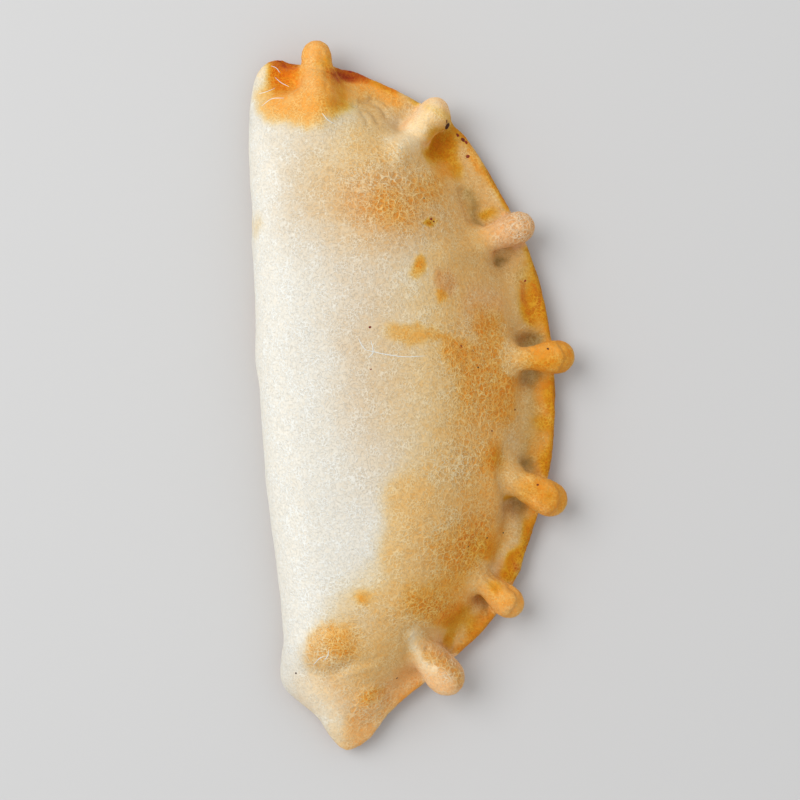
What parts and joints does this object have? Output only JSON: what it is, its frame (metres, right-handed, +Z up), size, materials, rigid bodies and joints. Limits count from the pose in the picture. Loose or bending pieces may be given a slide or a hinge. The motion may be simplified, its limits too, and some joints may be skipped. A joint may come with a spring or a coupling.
{
  "type": "empanada",
  "caption": "Baked half-moon turnover of pale wheat dough, folded over its filling and closed along a curved rim with finger pinches.",
  "frame": {"origin": "middle of the footprint, on the surface that the empanada lies on", "axes": "+X from the folded edge to the pinched rim, +Y along the folded edge from the pointed tail to the blunt corner, +Z up"},
  "size_m": [0.0634, 0.1426, 0.0266],
  "materials": {
    "crust": "matte"
  },
  "bodies": {
    "root": {"empanada": "crust"}
  },
  "joints": []
}
